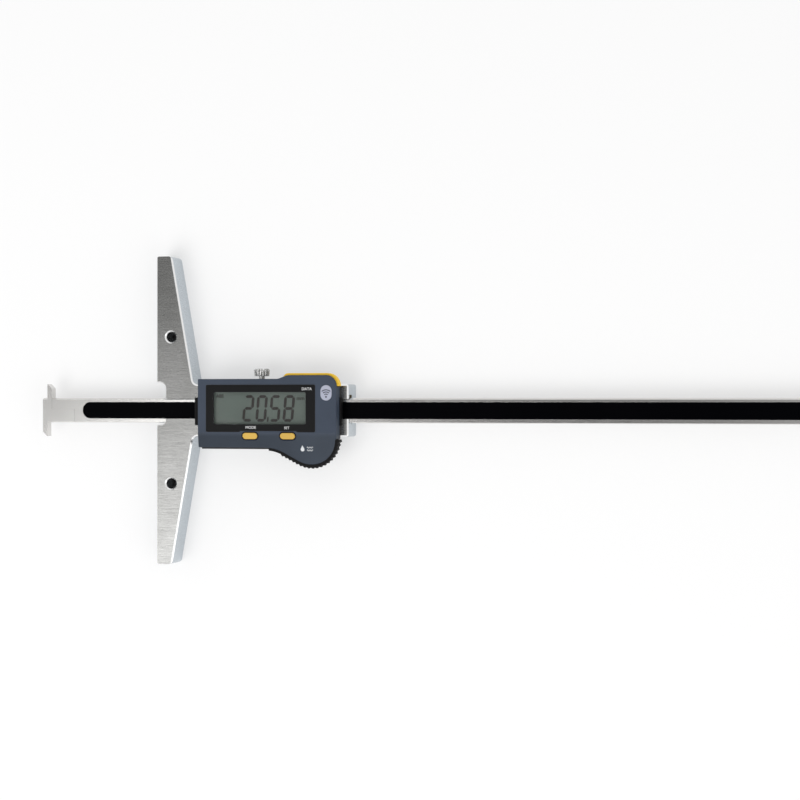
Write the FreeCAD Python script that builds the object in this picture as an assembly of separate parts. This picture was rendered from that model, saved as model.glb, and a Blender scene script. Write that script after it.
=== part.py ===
import FreeCAD, Part
import math
import os

# Digital depth gauge with a double-hook tip, lying on its back.
# +X runs along the beam away from the measuring face, +Y across it, +Z to the display.
# The origin is on the measuring face, on the beam's centre line, in the back plane.

V = FreeCAD.Vector

# Base and stem, one steel piece
base_length = 150.0
base_thickness = 13.0
tip_width = 7.5
tip_corner_radius = 2.3
face_corner_radius = 0.8
root_x = 18.5
root_radius = 2.8
stem_width = 25.0
stem_overhang = 3.9
edge_chamfer = 0.7
stem_corner_radius = 1.0
base_hole_spacing = 71.4
base_hole_x = 7.0
base_hole_diameter = 5.0
base_hole_chamfer = 0.65
notch_depth = 4.1
notch_top_gap = 0.7
notch_bottom_gap = 0.9
notch_radius = 2.7
notch_bevel = 1.2
notch_lead = 1.0
notch_bevel_radius = 0.5
notch_edge = 0.45

# Beam, scale strip and hooks
beam_width = 12.0
beam_thickness = 4.5
beam_top_chamfer = 0.8
beam_edge_chamfer = 0.3
slide_gap = 0.05
channel_floor = 7.0
lower_lip_edge = 4.05
upper_lip_edge = 5.5
lip_gap = 0.08
channel_relief = 0.5
measuring_range = 300.0
rest_reading = 59.0
hook_thickness = 2.4
hook_reach = 6.85
hook_tip_flat = 0.25
tongue_length = 12.3
tongue_top_y = 0.5
pin_diameter = 1.6
pin_fit = 0.01
pin_inset = 3.2
pin_cover = 1.5
strip_width = 8.0
strip_depth = 0.5
strip_start_from_plane = 19.0
strip_end_margin = 4.0
strip_fit = 0.05
stop_length = 8.0
stop_thickness = 1.5
stop_margin = 1.0
stop_screw_diameter = 1.6
stop_screw_spacing = 4.0
stop_screw_depth = 2.2

# Gib and its screws, lock screw
gib_thickness = 1.2
gib_height = 4.0
gib_gap = 0.1
gib_start_x = 21.0
gib_end_gap = 1.0
gib_screw_diameter = 2.5
gib_screw_first_x = 34.0
gib_screw_end_inset = 15.1
gib_screw_length = 4.2
gib_slot_depth = 0.8
gib_slot_width = 0.4
lock_x = 52.5
lock_head_diameter = 7.8
lock_head_length = 3.6
lock_head_start_y = 16.5
lock_head_taper = 0.4
lock_head_round = 0.7
lock_neck_diameter = 2.8
lock_neck_step = 0.2
lock_thread_diameter = 3.0
lock_knurls = 16
lock_knurl_radius = 0.55
screw_fit = 0.05

# Display case outline
case_left_margin = 5.8
case_right_margin = 12.85
case_top_margin = 1.95
case_bottom_margin = 4.1
case_corner_radius = 0.5
plateau_rise = 1.7
plateau_length = 24.5
ramp_length = 4.6
ramp_radius = 4.0
case_right_radius = 5.2
lobe_length = 30.9
lobe_start_radius = 20.0
lobe_slope = 28.3
lobe_radius = 12.3
lobe_inset = 0.7
lobe_step = 4.2
step_radius = 0.3

# Display case depths
chassis_thickness = 1.4
chassis_proud = 0.8
case_height = 7.0
skin = 1.6
wall = 1.6
front_round = 0.4
facet_gap = 0.3
facet_slope = 8.0
seal_inset = 0.5
seal_width = 0.6
seal_height = 0.5

# Display
bezel_left_margin = 3.85
bezel_right_margin = 4.7
bezel_top_margin = 3.6
bezel_bottom_margin = 3.7
bezel_step = 0.5
bezel_step_left = 45.0
bezel_step_right = 73.6
bezel_step_radius = 0.1
bezel_radius = 0.7
bezel_depth = 0.8
bezel_proud = 0.1
window_x = 54.85
window_y = 1.05
window_radius = 0.8
window_recess = 0.15
part_gap = 0.05
lens_flange = 2.0
lcd_length = 48.0
lcd_height = 18.0
lcd_corner_radius = 0.3
window_side_margin = 0.8
window_edge_margin = 1.35
lcd_thickness = 1.4
lcd_gap = 0.1
holder_rim = 1.5
holder_ledge = 2.0
connector_width = 1.2
connector_inset = 0.3

# Boards
board_thickness = 0.8
board_standoff = 0.6
board_end_margin = 0.2
board_chip_margin = 0.6
board_gap = 0.4
support_diameter = 3.0
support_inset = 2.0
board_tab_width = 10.0
sensor_inset = 1.6
sensor_length = 40.0
sensor_air_gap = 0.3
sensor_side_gap = 0.3
link_length = 12.0
link_width = 2.0
link_gap = 0.4
chip_length = 4.0
chip_width = 7.0
chip_height = 1.2
chip_gap = 1.2
chip_corner_radius = 1.0

# Keys
key_length = 7.4
key_width = 3.0
mode_key_x = 50.1
set_key_x = 69.0
key_gap = 1.25
key_proud = 0.4
key_edge = 0.2
key_room = 0.25
key_fit = 0.1
key_flange = 0.6
key_flange_height = 0.6
key_travel = 0.4
key_dome_gap = 0.1
key_mat_thickness = 0.8
key_mat_margin = 2.6
key_mat_edge = 0.45
key_mat_radius = 0.8
key_dome_diameter = 3.0
data_key_lead = 2.4
data_key_drop = 5.2
data_key_gap = 0.35
data_key_rebate = 0.6
data_key_proud = 1.0
data_key_height = 3.6
data_key_travel = 0.3
data_key_bevel = 1.6
data_peg_diameter = 1.6
data_peg_inset = 7.3
data_peg_spacing = 8.0
data_peg_head = 0.4
data_switch_length = 4.0
data_switch_depth = 2.6
data_switch_height = 2.4

# Battery
battery_inset = 14.7
battery_rise = 0.6
battery_diameter = 11.6
battery_height = 5.4
battery_gap = 0.2
battery_edge = 0.4
well_wall = 1.0
well_bottom = 7.8
well_stem_gap = 0.3
cover_plate_thickness = 1.2
cover_ear = 3.0
cover_ear_overlap = 0.6
cover_edge = 0.25
cover_screw_diameter = 1.6
cover_screw_length = 3.6
battery_seal_width = 0.5
contact_diameter = 5.0

# Grip, wipers, badge and case screws
grip_thickness = 1.3
grip_tooth_height = 0.7
grip_tooth_pitch = 2.0
grip_lead = 3.2
grip_smooth_length = 5.0
grip_tooth_share = 0.6
grip_foot = 0.8
grip_inset = 0.3
grip_fit = 0.02
front_wiper_proud = 2.9
rear_wiper_proud = 0.7
wiper_top_y = 6.2
wiper_bottom_y = -7.2
front_wiper_height = 3.2
rear_wiper_height = 1.8
wiper_beam_gap = 0.1
badge_gap = 2.7
badge_drop = 8.4
badge_width = 5.5
badge_height = 7.25
badge_thickness = 0.5
badge_proud = 0.06
case_screw_left_inset = 3.1
case_screw_right_inset = 3.0
case_screw_y = 10.0
case_screw_slot = 0.5
case_screw_diameter = 2.0
case_screw_head_diameter = 3.8
case_screw_head_height = 1.4
case_screw_head_z = 6.4
case_screw_grip_in_cover = 2.6
boss_diameter = 4.0

# Places worked out from the sizes above
holder_half_x = lcd_length / 2 + holder_rim
holder_half_y = lcd_height / 2 + holder_rim
case_left = window_x - holder_half_x - case_left_margin
case_right = window_x + holder_half_x + case_right_margin
case_top = window_y + holder_half_y + wall + case_top_margin
plateau_top = case_top + plateau_rise
ramp_end_x = case_right - plateau_length
ramp_start_x = ramp_end_x - ramp_length
key_y = window_y - holder_half_y - key_gap - key_width / 2
case_bottom = key_y - key_width / 2 - case_bottom_margin
cavity_bottom = case_bottom + wall
lobe_start_x = case_right - lobe_length
lobe_right = case_right - lobe_inset
lobe_step_y = case_bottom + lobe_step
window_length = lcd_length - 2 * window_side_margin
window_height = lcd_height - 2 * window_edge_margin
bezel_left = window_x - window_length / 2 - bezel_left_margin
bezel_right = window_x + window_length / 2 + bezel_right_margin
bezel_top = window_y + window_height / 2 + bezel_top_margin
bezel_bottom = window_y - window_height / 2 - bezel_bottom_margin
facet_y = bezel_bottom - facet_gap
stem_end_x = case_right + stem_overhang
chip_x = window_x + holder_half_x + chip_gap + chip_length / 2
board_left = window_x - holder_half_x - board_end_margin
board_right = chip_x + chip_length / 2 + board_chip_margin
sensor_left = board_left + sensor_inset
sensor_right = sensor_left + sensor_length
link_x = sensor_left + link_length / 2
data_key_start_x = ramp_end_x - data_key_lead
data_key_foot_y = plateau_top - data_key_lead * plateau_rise / ramp_length
data_key_end_y = plateau_top - data_key_drop
data_peg_x = ramp_end_x + data_peg_inset
data_peg_second_x = data_peg_x + data_peg_spacing
grip_start_x = lobe_start_x - grip_lead
battery_x = case_right - battery_inset
battery_y = case_bottom + battery_rise
gib_screw_second_x = stem_end_x - gib_screw_end_inset
badge_x = bezel_right + badge_gap + badge_width / 2
badge_y = plateau_top - badge_drop
case_screw_left_x = case_left + case_screw_left_inset
case_screw_right_x = case_right - case_screw_right_inset
plane_x = -rest_reading
beam_back = channel_floor + slide_gap
beam_front = beam_back + beam_thickness
beam_half = beam_width / 2
stem_half = stem_width / 2
chassis_front = base_thickness + chassis_thickness
case_front = base_thickness + case_height
skin_back = case_front - skin
board_back = chassis_front + board_standoff
board_front = board_back + board_thickness
lcd_front = skin_back - lcd_gap
lcd_back = lcd_front - lcd_thickness
stop_start_x = stem_end_x + measuring_range - rest_reading
beam_end_x = stop_start_x + stop_length + stop_margin
gib_pocket_y = beam_half + slide_gap + gib_gap + gib_thickness + gib_gap
gib_z = beam_back + gib_gap
lock_z = gib_z + gib_height / 2
case_screw_places = [(x, y) for x in (case_screw_left_x, case_screw_right_x)
                     for y in (-case_screw_y, case_screw_y)]
far = 60.0
past = 1.0
tiny = 0.001


def box(x0, x1, y0, y1, z0, z1):
    return Part.makeBox(x1 - x0, y1 - y0, z1 - z0, V(x0, y0, z0))


def rod(x, y, z0, z1, diameter):
    return Part.makeCylinder(diameter / 2, z1 - z0, V(x, y, z0))


def rod_along_y(x, z, y0, y1, diameter):
    return Part.makeCylinder(diameter / 2, y1 - y0, V(x, y0, z), V(0, 1, 0))


def outline(corners, z=0.0):
    """Closed face through corners (x, y, radius), each rounded by its own radius."""
    edges = []
    count = len(corners)
    starts = []
    ends = []
    mids = []
    for i, (x, y, radius) in enumerate(corners):
        here = V(x, y, z)
        before = V(corners[i - 1][0], corners[i - 1][1], z)
        after = V(corners[(i + 1) % count][0], corners[(i + 1) % count][1], z)
        to_before = (before - here).normalize()
        to_after = (after - here).normalize()
        half = to_before.getAngle(to_after) / 2
        reach = radius / math.tan(half)
        starts.append(here + to_before * reach)
        ends.append(here + to_after * reach)
        middle = (to_before + to_after).normalize()
        mids.append(here + middle * (radius / math.sin(half) - radius))
    for i in range(count):
        if corners[i][2] > 0:
            edges.append(Part.Arc(starts[i], mids[i], ends[i]).toShape())
        following = (i + 1) % count
        if (starts[following] - ends[i]).Length > 1e-6:
            edges.append(Part.LineSegment(ends[i], starts[following]).toShape())
    return Part.Face(Part.Wire(edges))


def plate(face, z0, z1):
    flat = face.copy()
    flat.translate(V(0, 0, z0))
    return flat.extrude(V(0, 0, z1 - z0))


def rounded(x0, x1, y0, y1, radius):
    return outline([(x0, y0, radius), (x1, y0, radius), (x1, y1, radius), (x0, y1, radius)])


def bar_along_x(points, x0, x1):
    """Prism along X whose section is given by (y, z) points."""
    corners = [V(x0, y, z) for y, z in points]
    section = Part.Face(Part.makePolygon(corners + corners[:1]))
    return section.extrude(V(x1 - x0, 0, 0))


def pill(x, y, length, width):
    radius = width / 2 - tiny
    return rounded(x - length / 2, x + length / 2, y - width / 2, y + width / 2, radius)


def edges_where(shape, test):
    return [edge for edge in shape.Edges if test(edge)]


def countersunk(x, y, z_head, z_tip, diameter):
    """Countersunk screw along Z, with its head at z_head and a slot across it."""
    radius = diameter / 2
    head_depth = radius
    step = 1 if z_tip > z_head else -1
    head = Part.makeCone(2 * radius, radius, head_depth, V(x, y, z_head), V(0, 0, step))
    shank = Part.makeCylinder(radius, abs(z_tip - z_head), V(x, y, z_head), V(0, 0, step))
    slot_depth = head_depth / 2
    slot = box(x - far, x + far, y - radius / 4, y + radius / 4,
               min(z_head, z_head + step * slot_depth), max(z_head, z_head + step * slot_depth))
    return head.fuse(shank).cut(slot).removeSplitter()


def countersink(x, y, z_head, z_tip, diameter):
    """Room for a countersunk screw, wider by the screw fit."""
    radius = diameter / 2 + screw_fit
    step = 1 if z_tip > z_head else -1
    head = Part.makeCone(2 * diameter / 2 + screw_fit, radius, diameter / 2 + screw_fit,
                         V(x, y, z_head), V(0, 0, step))
    length = abs(z_tip - z_head) + screw_fit
    return head.fuse(Part.makeCylinder(radius, length, V(x, y, z_head), V(0, 0, step)))


# Steel base with its stem and the channel for the beam
def base_outline(face_radius=0.0, tip_radius=0.0):
    half = base_length / 2
    return outline([
        (0, -half, face_radius),
        (tip_width, -half, tip_radius),
        (root_x, -stem_half, root_radius),
        (stem_end_x, -stem_half, stem_corner_radius),
        (stem_end_x, stem_half, stem_corner_radius),
        (root_x, stem_half, root_radius),
        (tip_width, half, tip_radius),
        (0, half, face_radius),
    ])


def channel(x0, x1):
    """The T-shaped way for the beam: open at the front between the two lips."""
    side = beam_half + slide_gap
    under_lips = box(x0, x1, -side, side, channel_floor, beam_front + lip_gap)
    mouth = box(x0, x1, -lower_lip_edge, upper_lip_edge, channel_floor, base_thickness + past)
    relief = box(x0, x1, -side - channel_relief, -side + channel_relief,
                 channel_floor - channel_relief / 2, channel_floor + channel_relief)
    return under_lips.fuse([mouth, relief])


def notch():
    """Through cut in the measuring face that takes the upper hook at zero."""
    top = beam_half + hook_reach + notch_top_gap
    bottom = -beam_half - notch_bottom_gap
    face = outline([
        (-past, bottom, 0),
        (notch_depth - notch_lead, bottom, notch_bevel_radius),
        (notch_depth, bottom + notch_bevel, notch_bevel_radius),
        (notch_depth, top, notch_radius),
        (-past, top, 0),
    ])
    return plate(face, -past, base_thickness + past)


def battery_bay():
    """Waist in the stem's lower side that clears the battery well."""
    room = battery_diameter / 2 + battery_gap + well_wall + well_stem_gap
    return rod(battery_x, battery_y, -past, base_thickness + past, 2 * room)


def base_frame():
    body = plate(base_outline(), 0, base_thickness)
    back = edges_where(body, lambda e: e.BoundBox.ZMin > base_thickness - tiny
                       and e.CenterOfMass.x > tiny
                       and abs(e.CenterOfMass.y) < base_length / 2 - tiny)
    body = body.makeChamfer(edge_chamfer, back)
    body = body.common(plate(base_outline(face_corner_radius, tip_corner_radius), 0, base_thickness))
    body = body.cut(notch())
    rim = edges_where(body, lambda e: e.BoundBox.ZMin > base_thickness - tiny
                      and tiny < e.CenterOfMass.x < notch_depth + tiny
                      and abs(e.CenterOfMass.y) < beam_half + hook_reach + notch_top_gap + tiny)
    body = body.makeChamfer(notch_edge, rim)
    gib_room = box(gib_start_x - gib_end_gap, stem_end_x + past, 0, gib_pocket_y,
                   channel_floor, gib_z + gib_height + gib_gap)
    cuts = [channel(-past, stem_end_x + past), gib_room, battery_bay()]
    for side in (-1, 1):
        y = side * base_hole_spacing / 2
        radius = base_hole_diameter / 2
        cuts.append(rod(base_hole_x, y, -past, base_thickness + past, base_hole_diameter))
        wide = radius + base_hole_chamfer
        cuts.append(Part.makeCone(radius, wide, base_hole_chamfer,
                                  V(base_hole_x, y, base_thickness - base_hole_chamfer)))
        cuts.append(Part.makeCone(wide, radius, base_hole_chamfer, V(base_hole_x, y, 0)))
    for x in (gib_screw_first_x, gib_screw_second_x):
        cuts.append(rod_along_y(x, lock_z, gib_pocket_y - past, stem_half + past,
                                gib_screw_diameter + 2 * screw_fit))
    cuts.append(rod_along_y(lock_x, lock_z, gib_pocket_y - past, stem_half + past,
                            lock_thread_diameter + 2 * screw_fit))
    for x, y in case_screw_places:
        cuts.append(rod(x, y, -past, case_screw_head_z, case_screw_head_diameter + 4 * screw_fit))
        cuts.append(rod(x, y, 0, base_thickness + past, case_screw_diameter + 2 * screw_fit))
    return body.cut(Part.makeCompound(cuts))


# Beam with its pocket for the scale, its hook piece, pins and end stop
def beam_bar(x0, x1):
    half = beam_half
    top = beam_top_chamfer
    edge = beam_edge_chamfer
    return bar_along_x([
        (-half, beam_back + edge), (-half + edge, beam_back), (half - edge, beam_back),
        (half, beam_back + edge), (half, beam_front - top), (half - top, beam_front),
        (-half + edge, beam_front), (-half, beam_front - edge)], x0, x1)


def strip_face(grow):
    half = strip_width / 2 + grow
    start = plane_x + strip_start_from_plane - grow
    end = beam_end_x - strip_end_margin + grow
    return rounded(start, end, -half, half, half - tiny)


def tongue_room(gap):
    """Lap of the hook piece: full width at the head, lower half along the tongue."""
    head_end = plane_x + hook_thickness
    head = box(plane_x - far, head_end + gap, -far, far, 0, far)
    tongue = box(plane_x - far, head_end + tongue_length + gap, -far, tongue_top_y + gap, 0, far)
    return head.fuse(tongue)


def pin_places():
    start = plane_x + hook_thickness
    return (start + pin_inset, start + tongue_length - pin_inset)


def pin_hole(x, y1):
    """Hole for a hook pin, open at the lower edge of the beam."""
    middle = beam_back + beam_thickness / 2
    return rod_along_y(x, middle, -beam_half - past, y1, pin_diameter + 2 * pin_fit)


def beam():
    body = beam_bar(plane_x - hook_thickness, beam_end_x)
    body = body.cut(tongue_room(0))
    body = body.cut(plate(strip_face(strip_fit), beam_front - strip_depth, beam_front + past))
    for x in pin_places():
        body = body.cut(pin_hole(x, beam_half - pin_cover))
    for x in stop_screw_places():
        body = body.cut(rod(x, 0, beam_back - past, beam_back + stop_screw_depth,
                            stop_screw_diameter + 2 * screw_fit))
    return body


def hook_tip():
    body = beam_bar(plane_x - hook_thickness, beam_end_x).common(tongue_room(0))
    reach = beam_half + hook_reach
    slope = hook_thickness - hook_tip_flat
    left = plane_x
    right = plane_x + hook_thickness
    upper = outline([
        (left, 0, 0), (right, 0, 0), (right, reach - slope, 0),
        (left + hook_tip_flat, reach, 0), (left, reach, 0)])
    left = plane_x - hook_thickness
    right = plane_x
    lower = outline([
        (right, 0, 0), (left, 0, 0), (left, -reach + slope, 0),
        (right - hook_tip_flat, -reach, 0), (right, -reach, 0)])
    body = body.fuse([plate(upper, beam_back, beam_front), plate(lower, beam_back, beam_front)])
    for x in pin_places():
        body = body.cut(pin_hole(x, beam_half))
    return body.removeSplitter()


def hook_pins():
    middle = beam_back + beam_thickness / 2
    return [rod_along_y(x, middle, -beam_half + pin_fit, beam_half - pin_cover - pin_fit, pin_diameter)
            for x in pin_places()]


def scale_strip():
    return plate(strip_face(0), beam_front - strip_depth, beam_front)


def stop_screw_places():
    middle = stop_start_x + stop_length / 2
    return (middle - stop_screw_spacing / 2, middle + stop_screw_spacing / 2)


def end_stop():
    body = box(stop_start_x, stop_start_x + stop_length, -beam_half, beam_half,
               beam_back - stop_thickness, beam_back)
    body = body.makeChamfer(beam_edge_chamfer, edges_where(
        body, lambda e: e.BoundBox.ZMax < beam_back - stop_thickness + 0.01))
    for x in stop_screw_places():
        body = body.cut(countersink(x, 0, beam_back - stop_thickness, beam_back + past, stop_screw_diameter))
    return body


def end_stop_screws():
    return [countersunk(x, 0, beam_back - stop_thickness + screw_fit,
                        beam_back + stop_screw_depth - screw_fit, stop_screw_diameter)
            for x in stop_screw_places()]


# Gib, its two grub screws and the knurled lock screw
def gib_strip():
    y0 = beam_half + slide_gap + gib_gap
    body = box(gib_start_x, stem_end_x - gib_end_gap, y0, y0 + gib_thickness, gib_z, gib_z + gib_height)
    for x in (gib_screw_first_x, gib_screw_second_x):
        body = body.cut(Part.makeCone(0, gib_screw_diameter / 2, gib_screw_diameter / 2,
                                      V(x, y0 + gib_thickness / 2, lock_z), V(0, 1, 0)))
    return body


def gib_screws():
    solids = []
    y0 = beam_half + slide_gap + gib_gap + gib_thickness + screw_fit
    for x in (gib_screw_first_x, gib_screw_second_x):
        body = rod_along_y(x, lock_z, y0, y0 + gib_screw_length, gib_screw_diameter)
        tip = gib_thickness / 3
        point = Part.makeCone(0, tip, tip, V(x, y0 - tip, lock_z), V(0, 1, 0))
        slot = box(x - far, x + far, y0 + gib_screw_length - gib_slot_depth, y0 + gib_screw_length,
                   lock_z - gib_slot_width / 2, lock_z + gib_slot_width / 2)
        solids.append(body.fuse(point).cut(slot).removeSplitter())
    return solids


def lock_screw():
    tip_y = gib_pocket_y - gib_gap + screw_fit
    radius = lock_head_diameter / 2
    low = lock_head_start_y
    high = lock_head_start_y + lock_head_length
    profile = [
        V(lock_x, tip_y, lock_z), V(lock_x + lock_thread_diameter / 2, tip_y, lock_z),
        V(lock_x + lock_thread_diameter / 2, stem_half, lock_z),
        V(lock_x + lock_neck_diameter / 2, stem_half + lock_neck_step, lock_z),
        V(lock_x + lock_neck_diameter / 2, low, lock_z),
        V(lock_x + radius - lock_head_taper, low, lock_z),
        V(lock_x + radius, high - lock_head_round, lock_z),
        V(lock_x + radius - lock_head_round, high, lock_z),
        V(lock_x, high, lock_z)]
    edges = [Part.LineSegment(a, b).toShape() for a, b in zip(profile, profile[1:])]
    edges.append(Part.LineSegment(V(lock_x, high, lock_z), profile[0]).toShape())
    body = Part.Face(Part.Wire(edges)).revolve(V(lock_x, 0, lock_z), V(0, 1, 0), 360)
    for i in range(lock_knurls):
        angle = 2 * math.pi * i / lock_knurls
        x = lock_x + radius * math.cos(angle)
        z = lock_z + radius * math.sin(angle)
        body = body.cut(rod_along_y(x, z, low - past, high + past, 2 * lock_knurl_radius))
    return body


# Display case: outline, chassis, cover and seal
def case_outline(bottom=case_bottom):
    drop = math.tan(math.radians(lobe_slope)) * (lobe_right - lobe_start_x)
    return outline([
        (case_left, bottom, case_corner_radius),
        (lobe_start_x, bottom, lobe_start_radius),
        (lobe_right, case_bottom - drop, lobe_radius),
        (lobe_right, lobe_step_y, step_radius),
        (case_right, lobe_step_y, step_radius),
        (case_right, plateau_top, case_right_radius),
        (ramp_end_x, plateau_top, ramp_radius),
        (ramp_start_x, case_top, ramp_radius),
        (case_left, case_top, case_corner_radius),
    ])


def facet_wedge(lower=0.0):
    """What the sloping lower facet takes off the front of the case."""
    drop = math.tan(math.radians(facet_slope)) * (far + facet_y)
    top = case_front - lower
    return bar_along_x([(facet_y, top), (-far, top - drop), (-far, top + far), (facet_y, top + far)],
                       case_left - far, case_right + far)


def chassis():
    body = plate(case_outline(case_bottom - chassis_proud), base_thickness, chassis_front)
    for x in (board_left + support_inset, board_right - support_inset):
        for y in (cavity_bottom + support_inset, case_top - wall - support_inset):
            body = body.fuse(rod(x, y, chassis_front, board_back, support_diameter))
    inner = battery_diameter + 2 * battery_gap
    body = body.fuse(rod(battery_x, battery_y, well_bottom, base_thickness, inner + 2 * well_wall))
    for x in cover_ears():
        body = body.fuse(rod(x, battery_y, well_bottom, base_thickness, cover_ear))
    cuts = [rod(battery_x, battery_y, 0, chassis_front + past, inner)]
    cuts.append(box(link_x - link_length / 2 - link_gap, link_x + link_length / 2 + link_gap,
                    -link_width / 2 - link_gap, link_width / 2 + link_gap, 0, far))
    for x, y in case_screw_places:
        cuts.append(rod(x, y, 0, far, case_screw_diameter + 2 * screw_fit))
    for x in cover_ears():
        cuts.append(rod(x, battery_y, 0, well_bottom + cover_screw_length,
                        cover_screw_diameter + 2 * screw_fit))
    return body.cut(Part.makeCompound(cuts)).removeSplitter()


def cover_ears():
    reach = battery_diameter / 2 + battery_gap + well_wall + cover_ear / 2 - cover_ear_overlap
    return (battery_x - reach, battery_x + reach)


def case_cavity():
    """Hollow of the cover: the main room, the way to the battery and room for its tab."""
    main = plate(case_outline().makeOffset2D(-wall), chassis_front - past, skin_back)
    main = main.common(box(case_left, case_right, cavity_bottom, far, 0, far))
    half = board_tab_width / 2 + board_gap
    tab_end = battery_y - contact_diameter / 2 - board_gap
    tab = box(battery_x - half, battery_x + half, tab_end, cavity_bottom + past,
              chassis_front - past, board_front + board_gap)
    room = rod(battery_x, battery_y, chassis_front - past, board_front + board_gap,
               contact_diameter + 2 * board_gap)
    return main.fuse([tab, room])


def full_outline():
    """Case outline before the grip's rebate is taken off round the lobe."""
    drop = math.tan(math.radians(lobe_slope)) * (case_right - lobe_start_x)
    return outline([
        (case_left, case_bottom, case_corner_radius),
        (lobe_start_x, case_bottom, lobe_start_radius),
        (case_right, case_bottom - drop, lobe_radius + case_right - lobe_right),
        (case_right, plateau_top, case_right_radius),
        (ramp_end_x, plateau_top, ramp_radius),
        (ramp_start_x, case_top, ramp_radius),
        (case_left, case_top, case_corner_radius),
    ])


def front_cover():
    body = plate(full_outline(), chassis_front, case_front)
    body = body.cut(facet_wedge())
    top_faces = [f for f in body.Faces if f.normalAt(0, 0).z > 0.5 and f.CenterOfMass.z > chassis_front + 1]
    rims = []
    for face in top_faces:
        others = [f for f in top_faces if not f.isSame(face)]
        for edge in face.OuterWire.Edges:
            shared = any(edge.isSame(e) for f in others for e in f.OuterWire.Edges)
            if not shared:
                rims.append(edge)
    body = body.makeFillet(front_round, rims)
    body = body.common(plate(case_outline(), chassis_front, case_front))
    body = body.cut(case_cavity())
    for x, y in case_screw_places:
        post = rod(x, y, chassis_front, skin_back, boss_diameter)
        body = body.fuse(post.common(plate(case_outline(), chassis_front, case_front)))
    cuts = [plate(bezel_face(part_gap), case_front - bezel_depth, case_front + past)]
    cuts.append(plate(window_face(lens_flange + part_gap), skin_back - past, case_front))
    for x in (mode_key_x, set_key_x):
        cuts.append(plate(pill(x, key_y, key_length + 2 * key_room, key_width + 2 * key_room), 0, far))
    for x in (data_peg_x, data_peg_second_x):
        cuts.append(rod_along_y(x, data_key_middle(), plateau_top - wall - past, plateau_top + past,
                                data_peg_diameter + 2 * key_fit))
    cuts.append(data_key_rebate_room())
    for x, y in case_screw_places:
        cuts.append(rod(x, y, 0, chassis_front + case_screw_grip_in_cover + screw_fit,
                        case_screw_diameter + 2 * screw_fit))
    cuts.append(plate(badge_face(part_gap), case_front - badge_thickness, case_front + past))
    cuts.append(seal_ring(0))
    return body.cut(Part.makeCompound(cuts)).removeSplitter()


def seal_ring(gap):
    outer = plate(case_outline().makeOffset2D(-seal_inset - gap),
                  chassis_front, chassis_front + seal_height - gap)
    inner = plate(case_outline().makeOffset2D(-seal_inset - seal_width + gap), 0, far)
    return outer.cut(inner)


def case_screws():
    solids = []
    for x, y in case_screw_places:
        head = rod(x, y, case_screw_head_z - case_screw_head_height, case_screw_head_z,
                   case_screw_head_diameter)
        shank = rod(x, y, case_screw_head_z, chassis_front + case_screw_grip_in_cover, case_screw_diameter)
        slot = box(x - far, x + far, y - case_screw_slot / 2, y + case_screw_slot / 2,
                   0, case_screw_head_z - case_screw_head_height / 2)
        solids.append(head.fuse(shank).cut(slot).removeSplitter())
    return solids


# Display: bezel, lens, panel, holder and its rubber connector
def bezel_face(grow=0.0):
    low = bezel_bottom - grow
    step = low + bezel_step
    return outline([
        (bezel_left - grow, low, bezel_radius),
        (bezel_step_left + grow, low, bezel_step_radius), (bezel_step_left + grow, step, bezel_step_radius),
        (bezel_step_right - grow, step, bezel_step_radius), (bezel_step_right - grow, low, bezel_step_radius),
        (bezel_right + grow, low, bezel_radius),
        (bezel_right + grow, bezel_top + grow, bezel_radius),
        (bezel_left - grow, bezel_top + grow, bezel_radius),
    ])


def window_face(grow=0.0):
    half_x = window_length / 2 + grow
    half_y = window_height / 2 + grow
    return rounded(window_x - half_x, window_x + half_x, window_y - half_y, window_y + half_y, window_radius)


def window_bezel():
    body = plate(bezel_face(), case_front - bezel_depth, case_front + bezel_proud)
    return body.cut(plate(window_face(part_gap), 0, far))


def window_lens():
    flange = plate(window_face(lens_flange), skin_back, case_front - bezel_depth)
    boss = plate(window_face(), skin_back, case_front + bezel_proud - window_recess)
    return flange.fuse(boss).removeSplitter()


def lcd_face(grow=0.0):
    half_x = lcd_length / 2 + grow
    half_y = lcd_height / 2 + grow
    return rounded(window_x - half_x, window_x + half_x, window_y - half_y, window_y + half_y,
                   lcd_corner_radius)


def lcd_panel():
    return plate(lcd_face(), lcd_back, lcd_front)


def connector_box(gap):
    half = lcd_length / 2 - holder_ledge + gap
    low = window_y - lcd_height / 2 + connector_inset
    return box(window_x - half, window_x + half, low - gap, low + connector_width + gap,
               board_front, lcd_back)


def lcd_holder():
    body = plate(lcd_face(holder_rim), board_front, lcd_front)
    body = body.cut(plate(lcd_face(part_gap), lcd_back, far))
    body = body.cut(plate(lcd_face(-holder_ledge), 0, far))
    return body.cut(connector_box(part_gap))


def elastomer_connector():
    return connector_box(0)


# Boards and what they carry
def circuit_board():
    body = box(board_left, board_right, cavity_bottom + board_gap, case_top - wall - part_gap,
               board_back, board_front)
    half = board_tab_width / 2
    tab = box(battery_x - half, battery_x + half, battery_y - contact_diameter / 2, cavity_bottom + past,
              board_back, board_front)
    return body.fuse(tab).removeSplitter()


def sensor_board():
    return box(sensor_left, sensor_right, -lower_lip_edge + sensor_side_gap, upper_lip_edge - sensor_side_gap,
               beam_front + sensor_air_gap, base_thickness)


def board_link():
    return box(link_x - link_length / 2, link_x + link_length / 2, -link_width / 2, link_width / 2,
               base_thickness, board_back)


def controller_chip():
    body = rounded(chip_x - chip_length / 2, chip_x + chip_length / 2, -chip_width / 2, chip_width / 2,
                   chip_corner_radius)
    return plate(body, board_front, board_front + chip_height)


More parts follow.
